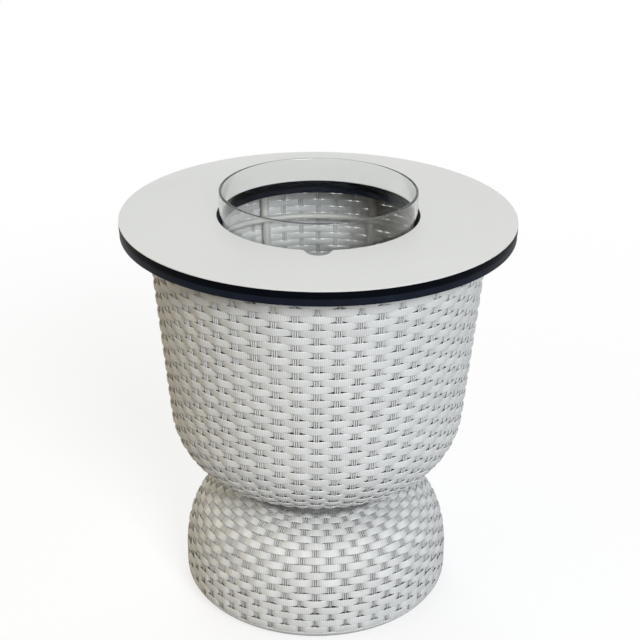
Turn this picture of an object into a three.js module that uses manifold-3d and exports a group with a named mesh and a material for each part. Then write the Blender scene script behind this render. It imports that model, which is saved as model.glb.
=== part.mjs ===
// A round side table with a clear ice bowl let into its top.
// Millimetres, +Z up. The origin is on the floor under the middle of the table, and -Y is the front.
import * as THREE from "three";
import { mergeVertices } from "three/addons/utils/BufferGeometryUtils.js";
import Module from "manifold-3d";

// Tabletop: a white face sheet on a black core, over a black backing plate
const topHeight = 480;
const topRadius = 225;
const faceThickness = 1;
const coreThickness = 8;
const backingThickness = 6.5;
const backingInset = 0.4;
const holeRadius = 115.5;
const ledgeDepth = 2.8;
const ledgeWidth = 2.2;
const notchRadius = 14;
const notchOffset = 1;
const notchFillet = 5;

// Woven bucket: its outer outline is a straight cone, a round belly and a neck
const bucketTopRadius = 195;
const bellyArcRadius = 88.3;
const bellyCentreRadius = 87;
const bellyCentreHeight = 245.3;
const neckRadius = 84;
const neckFillet = 7;
const weaveThickness = 4.4;
const weaveTopGap = 1;

// Woven base: a dome that falls to an upright wall and turns in at the floor
const baseRadius = 161.6;
const shoulderDrop = 106;
const domeSlopeDegrees = 8.4;
const domeHandleShare = 0.46;
const wallTopHeight = 40;
const wallHandleShare = 0.692;
const footWidth = 25.3;
const footHeight = 21;
const floorGap = 2.4;
const bindingStartDegrees = 12;
const bindingEndDegrees = 92;

// Weave: rows of flat strands that pass over one upright stake and behind the next
const weaveRelief = 2;
const bucketStakes = 52;
const bucketRowPitch = 8.6;
const bucketFirstRow = 4.7;
const baseStakes = 56;
const baseRowPitch = 8.78;

// Frame of round rods
const topRodRadius = 6;
const rodRadius = 5;
const ringRodRadius = 4;
const rodCount = 8;
const rodTurnDegrees = 22.5;
const bellyTurnDegrees = 46;
const bellyHandleShare = 0.65;
const waistHandleShare = 0.76;
const waistStandoff = 3;
const skirtHandleShare = 0.42;
const domeMeetShare = 0.41;
const footRodDegrees = 51;
const footRingDegrees = 73;
const upperRingDrop = 51.5;

// Shelf, pads and bowl
const bowlRadius = 112.5;
const bowlWall = 3.2;
const bowlFloor = 4;
const bowlStandingHeight = 29;
const bowlHeight = 189;
const bowlCorner = 14;
const padRadius = 8;
const padThickness = 2.5;
const padCircleRadius = 80;
const padTurnDegrees = 45;
const shelfThickness = 4;
const shelfLap = 1;
const drainHoleRadius = 6;
const drainCircleRadius = 45;
const drainHoleCount = 6;

// Tabs that carry the tabletop and the glides
const tabCount = 4;
const tabTurnDegrees = 45;
const tabThickness = 3;
const tabWidth = 24;
const topTabLength = 30;
const footTabLength = 26;
const glideRadius = 11;
const glideTopRadius = 8;
const glideChamfer = 1.5;
const glideBoreDepth = 7;
const screwRadius = 2.4;
const screwHeadRadius = 4.5;
const screwHeadHeight = 2.6;
const topScrewReach = 5;
const glideScrewReach = 6;

// Clearances
const contactGap = 0.3;
const holeClearance = 0.25;
const cutOverrun = 2;

// Facets
const boardSegments = 72;
const shellSegments = 48;
const ringSegments = 24;
const rodSides = 8;
const bucketRodSteps = 14;
const baseRodSteps = 11;
const bendSegments = 4;
const bellySegments = 8;
const smallSegments = 10;
const lengthDivisions = 800;

const wasm = await Module();
wasm.setup();

const radians = THREE.MathUtils.degToRad;
const halfTurn = Math.PI;
const fullTurn = 2 * halfTurn;
const quarterTurn = halfTurn / 2;
const front = -quarterTurn;

// Finishes
const finish = (color, roughness, metalness) => () =>
  new THREE.MeshStandardMaterial({ color, roughness, metalness });
const whiteLaminate = finish("#e3e3df", 0.42, 0);
const blackCore = finish("#16181d", 0.45, 0);
const blackBoard = finish("#262b33", 0.5, 0);
const paleWeave = finish("#e2e0da", 0.55, 0);
const powderCoat = finish("#d9d8d3", 0.5, 0.2);
const shelfSheet = finish("#c9cacb", 0.45, 0.6);
const clearAcrylic = () =>
  new THREE.MeshStandardMaterial({
    color: "#f4f8f8",
    roughness: 0.05,
    metalness: 0,
    transparent: true,
    opacity: 0.35,
  });
const greySilicone = finish("#8f9394", 0.7, 0);
const blackRubber = finish("#1d1e20", 0.8, 0);
const brightSteel = finish("#b9bcc0", 0.3, 0.9);

const table = new THREE.Group();

// Adds one named piece of the table.
function addPiece(name, geometry, material) {
  const piece = new THREE.Mesh(geometry, material());
  piece.name = name;
  table.add(piece);
}

// Turns a geometry with welded corners into a solid that can be cut.
// A triangle that the welding closes up, on the axis of a turned body, is left out.
function toSolid(geometry) {
  const bare = geometry.clone();
  bare.deleteAttribute("normal");
  bare.deleteAttribute("uv");
  const welded = mergeVertices(bare);
  const corners = Array.from(welded.index.array);
  const triangles = [];
  for (let first = 0; first < corners.length; first += 3) {
    const triangle = corners.slice(first, first + 3);
    if (new Set(triangle).size === triangle.length) triangles.push(...triangle);
  }
  return new wasm.Manifold(
    new wasm.Mesh({
      numProp: 3,
      vertProperties: new Float32Array(welded.attributes.position.array),
      triVerts: new Uint32Array(triangles),
    }),
  );
}

// Turns a solid back into a geometry.
function toGeometry(solid) {
  const mesh = solid.getMesh();
  const geometry = new THREE.BufferGeometry();
  geometry.setAttribute("position", new THREE.BufferAttribute(mesh.vertProperties, mesh.numProp));
  geometry.setIndex(new THREE.BufferAttribute(mesh.triVerts, 1));
  return geometry;
}

// Takes every tool away from a body.
function cut(body, tools) {
  const left = tools.reduce((solid, tool) => solid.subtract(toSolid(tool)), toSolid(body));
  return toGeometry(left);
}

// A turned solid. The profile's points hold radius and height, up the outside and down the inside.
function turned(profile, segments) {
  return new THREE.LatheGeometry(profile, segments).rotateX(quarterTurn);
}

// A flat plate of a given outline, from one height up to another.
function plate(outline, fromHeight, toHeight, segments) {
  const geometry = new THREE.ExtrudeGeometry(outline, {
    depth: toHeight - fromHeight,
    bevelEnabled: false,
    curveSegments: segments,
  });
  return geometry.translate(0, 0, fromHeight);
}

// An upright round bar that stands on a circle about the middle of the table.
function peg(radius, fromHeight, toHeight, circleRadius, angle) {
  const height = toHeight - fromHeight;
  const bar = new THREE.CylinderGeometry(radius, radius, height, smallSegments);
  bar.rotateX(quarterTurn);
  const x = circleRadius * Math.cos(angle);
  const y = circleRadius * Math.sin(angle);
  return bar.translate(x, y, fromHeight + height / 2);
}

// The angles of evenly spaced copies about the middle of the table.
function turnsOf(count, firstDegrees) {
  const first = radians(firstDegrees);
  return Array.from({ length: count }, (_, i) => first + (i * fullTurn) / count);
}

// Tabletop
const faceUnderside = topHeight - faceThickness;
const coreUnderside = faceUnderside - coreThickness;
const topUnderside = coreUnderside - backingThickness;
const ledgeHeight = topHeight - ledgeDepth;
const ledgeRadius = holeRadius - ledgeWidth;

// Points along an arc of a circle or an ellipse, from one angle to another.
function arc(centre, width, height, fromAngle, toAngle, clockwise, steps) {
  const curve = new THREE.EllipseCurve(
    centre.x, centre.y, width, height, fromAngle, toAngle, clockwise, 0,
  );
  return curve.getPoints(steps);
}

// The round hole with its finger notch at the front. Fillets join the notch to the hole.
function holeOutline(radius) {
  const notchDistance = holeRadius + notchOffset;
  const filletDistance = radius + notchFillet;
  const reach = notchRadius + notchFillet;
  const spread = Math.acos(
    (filletDistance ** 2 + notchDistance ** 2 - reach ** 2) / (2 * filletDistance * notchDistance),
  );
  const left = front - spread;
  const right = front + spread;
  const at = (distance, angle) =>
    new THREE.Vector2(distance * Math.cos(angle), distance * Math.sin(angle));
  const middle = new THREE.Vector2();
  const notch = at(notchDistance, front);
  const leftFillet = at(filletDistance, left);
  const rightFillet = at(filletDistance, right);
  const toLeft = leftFillet.clone().sub(notch).angle();
  const toRight = rightFillet.clone().sub(notch).angle();
  const round = (centre, size, from, to, clockwise, steps) =>
    arc(centre, size, size, from, to, clockwise, steps).slice(1);
  return [
    ...round(middle, radius, right, left, false, boardSegments),
    ...round(leftFillet, notchFillet, left + halfTurn, toLeft + halfTurn, true, bendSegments),
    ...round(notch, notchRadius, toLeft, toRight, false, 2 * bendSegments),
    ...round(rightFillet, notchFillet, toRight + halfTurn, right + halfTurn, true, bendSegments),
  ];
}

function disc(radius) {
  const outline = new THREE.Shape();
  outline.absarc(0, 0, radius, 0, fullTurn, false);
  return outline;
}

function board(radius, openingRadius, fromHeight, toHeight) {
  const outline = disc(radius);
  outline.holes.push(new THREE.Path(holeOutline(openingRadius)));
  return plate(outline, fromHeight, toHeight, boardSegments / 2);
}

const wideOpening = new THREE.Shape(holeOutline(holeRadius));
const ledgeCut = plate(wideOpening, ledgeHeight, faceUnderside + cutOverrun, 1);

addPiece("tabletop_face", board(topRadius, holeRadius, faceUnderside, topHeight), whiteLaminate);
addPiece(
  "tabletop_core",
  cut(board(topRadius, ledgeRadius, coreUnderside, faceUnderside), [ledgeCut]),
  blackCore,
);

// Outlines of the weave, from the top down, as points in radius and height
// The straight side touches the belly arc where a line from the top rim grazes it.
const rimOffset = new THREE.Vector2(
  bucketTopRadius - bellyCentreRadius,
  topUnderside - bellyCentreHeight,
);
const grazeAngle = rimOffset.angle() - Math.acos(bellyArcRadius / rimOffset.length());
const grazePoint = new THREE.Vector2(
  bellyCentreRadius + bellyArcRadius * Math.cos(grazeAngle),
  bellyCentreHeight + bellyArcRadius * Math.sin(grazeAngle),
);
const neckCentreRadius = neckRadius + neckFillet;
const neckReach = bellyArcRadius + neckFillet;
const neckSide = neckCentreRadius - bellyCentreRadius;
const upperNeckHeight = bellyCentreHeight - Math.sqrt(neckReach ** 2 - neckSide ** 2);
const bellyEndAngle = Math.atan2(upperNeckHeight - bellyCentreHeight, neckSide);
const domeSlope = radians(domeSlopeDegrees);
const domeShoulderHeight = bellyCentreHeight - shoulderDrop;
const domeRise = domeShoulderHeight - wallTopHeight;
const lowerNeckHeight = domeShoulderHeight + neckFillet * Math.cos(domeSlope);
const domeStart = new THREE.Vector2(
  neckCentreRadius - neckFillet * Math.sin(domeSlope),
  domeShoulderHeight,
);
const seamHeight = (upperNeckHeight + lowerNeckHeight) / 2;
const footCentreRadius = baseRadius - footWidth;
const footCentreHeight = floorGap + footHeight;

const bellyCentre = new THREE.Vector2(bellyCentreRadius, bellyCentreHeight);
const upperNeck = new THREE.Vector2(neckCentreRadius, upperNeckHeight);
const lowerNeck = new THREE.Vector2(neckCentreRadius, lowerNeckHeight);
const footCentre = new THREE.Vector2(footCentreRadius, footCentreHeight);

const turn = (centre, width, height, fromAngle, toAngle, clockwise) =>
  new THREE.EllipseCurve(centre.x, centre.y, width, height, fromAngle, toAngle, clockwise, 0);

// Each outline is a list of curves that run on into each other, with the steps to cut each into.
function bucketOutline() {
  const rim = new THREE.Vector2(bucketTopRadius, topUnderside - weaveTopGap);
  const neckEnd = new THREE.Vector2(neckRadius, upperNeckHeight);
  const seam = new THREE.Vector2(neckRadius, seamHeight + contactGap / 2);
  const belly = turn(
    bellyCentre, bellyArcRadius, bellyArcRadius, grazeAngle, bellyEndAngle, true,
  );
  const neckStart = bellyEndAngle + halfTurn;
  return [
    [new THREE.LineCurve(rim, grazePoint), 1],
    [belly, bellySegments],
    [turn(upperNeck, neckFillet, neckFillet, neckStart, halfTurn, false), bendSegments],
    [new THREE.LineCurve(neckEnd, seam), 1],
  ];
}

const dome = new THREE.CubicBezierCurve(
  domeStart,
  new THREE.Vector2(
    domeStart.x + domeHandleShare * domeRise * Math.cos(domeSlope),
    domeStart.y - domeHandleShare * domeRise * Math.sin(domeSlope),
  ),
  new THREE.Vector2(baseRadius, wallTopHeight + wallHandleShare * domeRise),
  new THREE.Vector2(baseRadius, wallTopHeight),
);

function baseOutline() {
  const seam = new THREE.Vector2(neckRadius, seamHeight - contactGap / 2);
  const neckEnd = new THREE.Vector2(neckRadius, lowerNeckHeight);
  const domeAngle = halfTurn + quarterTurn - domeSlope;
  const wallFoot = new THREE.Vector2(baseRadius, footCentreHeight);
  return [
    [new THREE.LineCurve(seam, neckEnd), 1],
    [turn(lowerNeck, neckFillet, neckFillet, halfTurn, domeAngle, false), bendSegments],
    [dome, bellySegments],
    [new THREE.LineCurve(new THREE.Vector2(baseRadius, wallTopHeight), wallFoot), 1],
    [turn(footCentre, footWidth, footHeight, 0, -radians(bindingStartDegrees), true), 1],
  ];
}

function bindingOutline() {
  const fromAngle = -radians(bindingStartDegrees) - contactGap / footHeight;
  const toAngle = -radians(bindingEndDegrees);
  return [[turn(footCentre, footWidth, footHeight, fromAngle, toAngle, true), bendSegments]];
}

// The point of an outline's curve at a share of it, moved in square to the curve by a distance.
function insetPoint(curve, share, distance) {
  const along = curve.getTangent(share);
  const inward = new THREE.Vector2(along.y, -along.x);
  return inward.multiplyScalar(distance).add(curve.getPoint(share));
}

// The points of an outline moved in by a distance, from its start to its end.
function insetPoints(outline, distance) {
  const points = [];
  outline.forEach(([curve, steps], i) => {
    for (let step = i === 0 ? 0 : 1; step <= steps; step += 1) {
      points.push(insetPoint(curve, step / steps, distance));
    }
  });
  return points;
}

// A plain wall: its outer outline, and each point moved in by the wall's thickness.
function plainWall(outline) {
  const outer = insetPoints(outline, 0);
  const inner = insetPoints(outline, weaveThickness);
  return turned([...outer.toReversed(), ...inner, outer[outer.length - 1]], shellSegments);
}

// A ring of a woven body has a point for the stakes that it lies over and one for those that it is behind.
// Even rows lie over the front stake and odd rows behind it. A plain ring has no row and one point.
const plainRing = (point) => ({ over: point, behind: point, row: 0 });

// The rings at the middles of rows, at distances along curves that run on into each other.
function rowRings(curves, distancesOf, firstRow) {
  const path = new THREE.CurvePath();
  curves.forEach((curve) => path.add(curve));
  const length = path.getLength();
  return distancesOf(length).map((distance, i) => ({
    over: path.getPoint(distance / length),
    behind: insetPoint(path, distance / length, weaveRelief),
    row: firstRow + i,
  }));
}

// Even distances from a first one, as many as leave half a pitch before the end.
function evenly(first, pitch, length) {
  const count = Math.floor((length - pitch / 2 - first) / pitch) + 1;
  return Array.from({ length: count }, (_, i) => first + i * pitch);
}

// A body turned about the axis from rings, up the outside, whose points go in and out from stake to stake.
// Each four-cornered face is split between its deeper corners, so that every strand stands out as a low bump.
function bumpyBody(rings, stakes) {
  const isBehind = (stake, ring) => (stake + ring.row) % 2 === 1 && ring.over !== ring.behind;
  const positions = [];
  const triangles = [];
  for (let stake = 0; stake < stakes; stake += 1) {
    const angle = front + (stake * fullTurn) / stakes;
    const next = (stake + 1) % stakes;
    rings.forEach((ring, i) => {
      const point = isBehind(stake, ring) ? ring.behind : ring.over;
      positions.push(point.x * Math.cos(angle), point.x * Math.sin(angle), point.y);
      if (i === rings.length - 1) return;
      const low = stake * rings.length + i;
      const nextLow = next * rings.length + i;
      const splitFromLow = isBehind(stake, ring) || isBehind(next, rings[i + 1]);
      if (splitFromLow) triangles.push(low, nextLow, nextLow + 1, low, nextLow + 1, low + 1);
      else triangles.push(low, nextLow, low + 1, nextLow + 1, low + 1, nextLow);
    });
  }
  const geometry = new THREE.BufferGeometry();
  geometry.setAttribute("position", new THREE.Float32BufferAttribute(positions, 3));
  return geometry.setIndex(triangles);
}

// A woven wall: a bumpy body of the outline's full size, less a plain turned body a wall's thickness inside it.
// The bumpy body's ends run in square to the outline, past the wall, and the inner body runs out past both ends.
function wovenWall(outline, rings, stakes) {
  const onAxis = (point) => new THREE.Vector2(0, point.y);
  const deep = insetPoints(outline, weaveThickness + cutOverrun);
  const [top, bottom] = [deep[0], deep[deep.length - 1]];
  const body = [onAxis(top), top, ...rings, bottom, onAxis(bottom)];
  const asRing = (item) => (item instanceof THREE.Vector2 ? plainRing(item) : item);
  const inner = insetPoints(outline, weaveThickness);
  const past = (point, before) => point.clone().sub(before).setLength(cutOverrun).add(point);
  const above = past(inner[0], inner[1]);
  const below = past(inner[inner.length - 1], inner[inner.length - 2]);
  const hollow = [onAxis(above), above, ...inner, below, onAxis(below)];
  const outerBody = bumpyBody(body.map(asRing).toReversed(), stakes);
  return cut(outerBody, [turned(hollow.toReversed(), shellSegments)]);
}

function bucketWall() {
  const outline = bucketOutline();
  const [[side], [belly]] = outline;
  const rows = (length) => evenly(bucketFirstRow, bucketRowPitch, length);
  const plain = insetPoints(outline.slice(2), 0);
  return wovenWall(outline, [side.getPoint(0), ...rowRings([side, belly], rows, 1), ...plain], bucketStakes);
}

// The base's rows are counted back from the binding, so that the last one is whole.
function baseWall() {
  const outline = baseOutline();
  const curves = outline.slice(2).map(([curve]) => curve);
  const rows = (length) =>
    evenly(baseRowPitch / 2, baseRowPitch, length).map((distance) => length - distance);
  const plain = insetPoints(outline.slice(0, 2), 0);
  const end = curves[curves.length - 1].getPoint(1);
  return wovenWall(outline, [...plain, ...rowRings(curves, rows, 0).toReversed(), end], baseStakes);
}

addPiece("wicker_bucket", bucketWall(), paleWeave);
addPiece("wicker_base", baseWall(), paleWeave);
addPiece("foot_binding", plainWall(bindingOutline()), paleWeave);

// Rings of the frame
const rodInset = weaveThickness + contactGap + rodRadius;

function ring(radius, height, barRadius) {
  const geometry = new THREE.TorusGeometry(radius, barRadius, rodSides, ringSegments);
  return geometry.rotateZ(radians(rodTurnDegrees)).translate(0, 0, height);
}

// The radius of the bucket's straight side at a height.
const sideRun = (bucketTopRadius - grazePoint.x) / (topUnderside - grazePoint.y);
const sideRadiusAt = (height) => grazePoint.x + sideRun * (height - grazePoint.y);
const ringInsideRods = (rodCentre) => rodCentre - rodRadius - contactGap - ringRodRadius;
const sideLean = Math.atan(sideRun);
const insetRadiusAt = (height, inset) => sideRadiusAt(height) - inset / Math.cos(sideLean);
const rodRadiusAt = (height) => insetRadiusAt(height, rodInset);
const topRingHeight = topUnderside - contactGap - topRodRadius;
const topRingRadius = insetRadiusAt(topRingHeight, weaveThickness + contactGap + topRodRadius);

const bowlUnderside = topHeight + bowlStandingHeight - bowlHeight;
const shelfTop = bowlUnderside - padThickness;
const shelfUnderside = shelfTop - shelfThickness;
const shelfRingHeight = shelfUnderside - contactGap - ringRodRadius;
const shelfRingRadius = ringInsideRods(rodRadiusAt(shelfRingHeight));
const upperRingHeight = topUnderside - upperRingDrop;
const upperRingRadius = ringInsideRods(rodRadiusAt(upperRingHeight));
const waistRodRadius = neckRadius - weaveThickness - waistStandoff - rodRadius;
const wallRodRadius = baseRadius - rodInset;

function footPointAt(degrees) {
  const angle = -radians(degrees);
  const normal = new THREE.Vector2(Math.cos(angle) / footWidth, Math.sin(angle) / footHeight);
  normal.normalize();
  return new THREE.Vector2(
    footCentreRadius + footWidth * Math.cos(angle) - rodInset * normal.x,
    footCentreHeight + footHeight * Math.sin(angle) - rodInset * normal.y,
  );
}
const footRing = footPointAt(footRingDegrees);

addPiece("top_ring", ring(topRingRadius, topRingHeight, topRodRadius), powderCoat);
addPiece("upper_ring", ring(upperRingRadius, upperRingHeight, ringRodRadius), powderCoat);
addPiece("shelf_ring", ring(shelfRingRadius, shelfRingHeight, ringRodRadius), powderCoat);
addPiece("waist_ring", ring(waistRodRadius, seamHeight, ringRodRadius), powderCoat);
addPiece("belly_ring", ring(ringInsideRods(wallRodRadius), wallTopHeight, ringRodRadius), powderCoat);
addPiece("foot_ring", ring(footRing.x, footRing.y, rodRadius), powderCoat);

// Bent rods: the bucket's run from the top ring to the waist ring, the base's on to the foot ring
const waistEnd = ringRodRadius + contactGap;

function bucketRodPath() {
  const path = new THREE.Path();
  const topEnd = topRingHeight - topRodRadius - contactGap;
  const bellyEnd = -radians(bellyTurnDegrees);
  const bendRadius = bellyArcRadius - rodInset;
  const bellyX = bellyCentreRadius + bendRadius * Math.cos(bellyEnd);
  const bellyY = bellyCentreHeight + bendRadius * Math.sin(bellyEnd);
  const lowEnd = seamHeight + waistEnd;
  const bellyHandle = bellyHandleShare * (bellyY - lowEnd);
  const waistHandle = waistHandleShare * (bellyY - lowEnd);
  path.moveTo(rodRadiusAt(topEnd), topEnd);
  path.lineTo(
    grazePoint.x - rodInset * Math.cos(grazeAngle),
    grazePoint.y - rodInset * Math.sin(grazeAngle),
  );
  path.absarc(bellyCentreRadius, bellyCentreHeight, bendRadius, grazeAngle, bellyEnd, true);
  path.bezierCurveTo(
    bellyX + bellyHandle * Math.sin(bellyEnd),
    bellyY - bellyHandle * Math.cos(bellyEnd),
    waistRodRadius,
    lowEnd + waistHandle,
    waistRodRadius,
    lowEnd,
  );
  return path;
}

// The last part of the dome's curve, moved in to where the rods run.
class DomeRodCurve extends THREE.Curve {
  getPoint(share) {
    return insetPoint(dome, domeMeetShare + share * (1 - domeMeetShare), rodInset);
  }
}

function baseRodPath() {
  const start = new THREE.Vector2(waistRodRadius, seamHeight - waistEnd);
  const meet = insetPoint(dome, domeMeetShare, rodInset);
  const handle = skirtHandleShare * start.distanceTo(meet);
  const skirt = new THREE.CubicBezierCurve(
    start,
    new THREE.Vector2(start.x, start.y - handle),
    dome.getTangent(domeMeetShare).multiplyScalar(-handle).add(meet),
    meet,
  );
  const wall = new THREE.LineCurve(
    new THREE.Vector2(wallRodRadius, wallTopHeight),
    new THREE.Vector2(wallRodRadius, footCentreHeight),
  );
  const footAngle = -radians(footRodDegrees);
  const foot = turn(footCentre, footWidth - rodInset, footHeight - rodInset, 0, footAngle, true);
  const path = new THREE.CurvePath();
  [skirt, new DomeRodCurve(), wall, foot].forEach((curve) => path.add(curve));
  return path;
}

// Stands a flat path of radius and height up at an angle about the middle of the table.
class StandingCurve extends THREE.Curve {
  constructor(path, angle) {
    super();
    this.path = path;
    this.angle = angle;
    this.arcLengthDivisions = lengthDivisions;
  }

  getPoint(share, target = new THREE.Vector3()) {
    const point = this.path.getPoint(share);
    return target.set(point.x * Math.cos(this.angle), point.x * Math.sin(this.angle), point.y);
  }
}

function bentRod(path, angle, steps) {
  return new THREE.ExtrudeGeometry(disc(rodRadius), {
    steps,
    curveSegments: rodSides / 2,
    bevelEnabled: false,
    extrudePath: new StandingCurve(path, angle),
  });
}

turnsOf(rodCount, rodTurnDegrees).forEach((angle, i) => {
  addPiece(`bucket_rod_${i + 1}`, bentRod(bucketRodPath(), angle, bucketRodSteps), powderCoat);
  addPiece(`base_rod_${i + 1}`, bentRod(baseRodPath(), angle, baseRodSteps), powderCoat);
});

// Shelf with drain holes, the pads on it and the bowl
const shelfRadius = shelfRingRadius + shelfLap;
const drainHoles = turnsOf(drainHoleCount, 0).map((angle) =>
  peg(drainHoleRadius, shelfUnderside - cutOverrun, shelfTop + cutOverrun, drainCircleRadius, angle),
);
const shelfBlank = plate(disc(shelfRadius), shelfUnderside, shelfTop, shellSegments / 2);
addPiece("shelf_plate", cut(shelfBlank, drainHoles), shelfSheet);

turnsOf(tabCount, padTurnDegrees).forEach((angle, i) => {
  const pad = peg(padRadius, shelfTop, bowlUnderside, padCircleRadius, angle);
  addPiece(`bowl_pad_${i + 1}`, pad, greySilicone);
});

function bowlProfile() {
  const rim = bowlUnderside + bowlHeight;
  const insideFloor = bowlUnderside + bowlFloor;
  const bendCentre = new THREE.Vector2(bowlRadius - bowlCorner, bowlUnderside + bowlCorner);
  const rimCentre = new THREE.Vector2(bowlRadius - bowlWall / 2, rim - bowlWall / 2);
  const insideCorner = bowlCorner - bowlWall;
  const insideCentre = new THREE.Vector2(bendCentre.x, insideFloor + insideCorner);
  return [
    new THREE.Vector2(0, bowlUnderside),
    ...arc(bendCentre, bowlCorner, bowlCorner, -quarterTurn, 0, false, bendSegments),
    ...arc(rimCentre, bowlWall / 2, bowlWall / 2, 0, halfTurn, false, bendSegments),
    ...arc(insideCentre, insideCorner, insideCorner, 0, -quarterTurn, true, bendSegments),
    new THREE.Vector2(0, insideFloor),
  ];
}
addPiece("ice_bowl", turned(bowlProfile(), shellSegments), clearAcrylic);

// Tabs, screws and glides
function tab(name, innerRadius, outerRadius, fromHeight, holeAt, angle) {
  const halfWidth = tabWidth / 2;
  const outline = new THREE.Shape();
  outline.moveTo(outerRadius, -halfWidth);
  outline.lineTo(outerRadius, halfWidth);
  outline.absarc(innerRadius + halfWidth, 0, halfWidth, quarterTurn, -quarterTurn, false);
  const hole = new THREE.Path();
  hole.absarc(holeAt, 0, screwRadius + holeClearance, 0, fullTurn, false);
  outline.holes.push(hole);
  const sheet = plate(outline, fromHeight, fromHeight + tabThickness, smallSegments / 2);
  addPiece(name, sheet.rotateZ(angle), powderCoat);
}

// A pan head screw with its head at one height and its tip at another.
function screw(name, headHeight, tipHeight, circleRadius, angle) {
  const up = Math.sign(tipHeight - headHeight);
  const profile = [
    [0, tipHeight],
    [screwRadius, tipHeight],
    [screwRadius, headHeight],
    [screwHeadRadius, headHeight],
    [screwHeadRadius, headHeight - (up * screwHeadHeight) / 2],
    [screwHeadRadius / 2, headHeight - up * screwHeadHeight],
    [0, headHeight - up * screwHeadHeight],
  ];
  const points = profile.map(([radius, height]) => new THREE.Vector2(radius, height));
  const body = turned(up > 0 ? points.toReversed() : points, smallSegments);
  const x = circleRadius * Math.cos(angle);
  const y = circleRadius * Math.sin(angle);
  addPiece(name, body.translate(x, y, 0), brightSteel);
}

const facetShare = Math.cos(halfTurn / ringSegments);
const topTabOuter = topRingRadius * facetShare - topRodRadius - contactGap;
const topScrewCircle = topTabOuter - topTabLength + tabWidth / 2;
const topTabUnderside = topUnderside - tabThickness;
const topTabs = turnsOf(tabCount, tabTurnDegrees);
topTabs.forEach((angle, i) => {
  const inner = topTabOuter - topTabLength;
  tab(`fixing_tab_${i + 1}`, inner, topTabOuter, topTabUnderside, topScrewCircle, angle);
  const tip = topUnderside + topScrewReach;
  screw(`fixing_screw_${i + 1}`, topTabUnderside, tip, topScrewCircle, angle);
});
const screwHoles = topTabs.map((angle) =>
  peg(
    screwRadius + holeClearance,
    topUnderside - cutOverrun,
    topUnderside + topScrewReach + contactGap,
    topScrewCircle,
    angle,
  ),
);
addPiece(
  "backing_plate",
  cut(board(topRadius - backingInset, ledgeRadius, topUnderside, coreUnderside), screwHoles),
  blackBoard,
);

const footTabOuter = footRing.x * facetShare - rodRadius - contactGap;
const footTabInner = footTabOuter - footTabLength;
const glideCircle = footTabInner + tabWidth / 2;
const footTabUnderside = footRing.y - tabThickness / 2;
turnsOf(tabCount, tabTurnDegrees).forEach((angle, i) => {
  tab(`foot_tab_${i + 1}`, footTabInner, footTabOuter, footTabUnderside, glideCircle, angle);
  const top = footTabUnderside;
  const bore = screwRadius + holeClearance;
  const profile = [
    [0, 0],
    [glideRadius - glideChamfer, 0],
    [glideRadius, glideChamfer],
    [glideTopRadius, top],
    [bore, top],
    [bore, top - glideBoreDepth],
    [0, top - glideBoreDepth],
  ];
  const points = profile.map(([radius, height]) => new THREE.Vector2(radius, height));
  const glide = turned(points, smallSegments);
  glide.translate(glideCircle * Math.cos(angle), glideCircle * Math.sin(angle), 0);
  addPiece(`glide_${i + 1}`, glide, blackRubber);
  screw(`glide_screw_${i + 1}`, top + tabThickness, top - glideScrewReach, glideCircle, angle);
});

export default table;
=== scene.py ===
"""Looks of a round side table with a woven body and a clear ice bowl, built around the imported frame.

Everything is in metres, +Z up, with the origin on the floor under the middle of the table and the front at -Y.
Each shape is worked out as whole arrays: a strand, tube or wall is a grid of points that two parameters give.
"""
import logging
import math
from dataclasses import dataclass, field
from enum import Enum
from functools import cache, cached_property, reduce
from typing import Protocol, Sequence

import bpy
import numpy as np
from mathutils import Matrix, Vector


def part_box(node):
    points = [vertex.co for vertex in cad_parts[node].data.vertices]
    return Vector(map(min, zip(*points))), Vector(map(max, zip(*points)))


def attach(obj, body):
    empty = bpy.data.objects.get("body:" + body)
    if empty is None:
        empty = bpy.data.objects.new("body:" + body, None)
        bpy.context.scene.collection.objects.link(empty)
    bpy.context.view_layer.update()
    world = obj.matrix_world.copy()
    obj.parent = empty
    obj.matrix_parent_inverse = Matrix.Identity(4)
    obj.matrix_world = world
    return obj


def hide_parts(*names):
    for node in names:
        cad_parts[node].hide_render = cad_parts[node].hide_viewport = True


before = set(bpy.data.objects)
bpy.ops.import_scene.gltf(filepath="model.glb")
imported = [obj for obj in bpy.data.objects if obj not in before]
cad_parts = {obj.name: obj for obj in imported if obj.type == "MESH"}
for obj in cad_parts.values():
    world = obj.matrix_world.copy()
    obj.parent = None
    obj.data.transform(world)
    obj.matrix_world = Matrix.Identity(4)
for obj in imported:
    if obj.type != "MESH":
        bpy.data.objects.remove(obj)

Array = np.ndarray
Pair = Sequence[float]
Colour = tuple[float, float, float]
Socket = bpy.types.NodeSocket

log = logging.getLogger("side_table")

MM = 0.001
FULL_TURN = 2 * math.pi
HALF_TURN = math.pi
QUARTER_TURN = math.pi / 2
FRONT = -QUARTER_TURN
STRAND_MAP = "strand"
TONE = "tone"
# The mesh attribute that the cane darkens by: painted shade in the weave, and the binding's even darkening.
PAINTED_SHADE = "dirt"
NOISE_SPAN = (0.3, 0.7)
BLACK = (0.0, 0.0, 0.0)
WHITE = (1.0, 1.0, 1.0)


# Meshes from arrays


def cells(grid: Array) -> Array:
    """Gathers what stands at the four corners of each cell of a grid, in order round the cell."""
    return np.stack([grid[:-1, :-1], grid[:-1, 1:], grid[1:, 1:], grid[1:, :-1]], axis=2)


def grid_faces(rows: int, columns: int, closed_rows: bool) -> Array:
    """Joins each point of a grid to its next ones by four-cornered faces. The last column joins on to the first.

    Args:
        rows: points in the first direction, numbered first.
        columns: points in the second direction.
        closed_rows: whether the last row joins on to the first too.

    Returns:
        Four point numbers for each face.
    """
    numbers = np.arange(rows * columns).reshape(rows, columns)
    return cells(np.pad(numbers, ((0, int(closed_rows)), (0, 1)), "wrap")).reshape(-1, 4)


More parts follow.
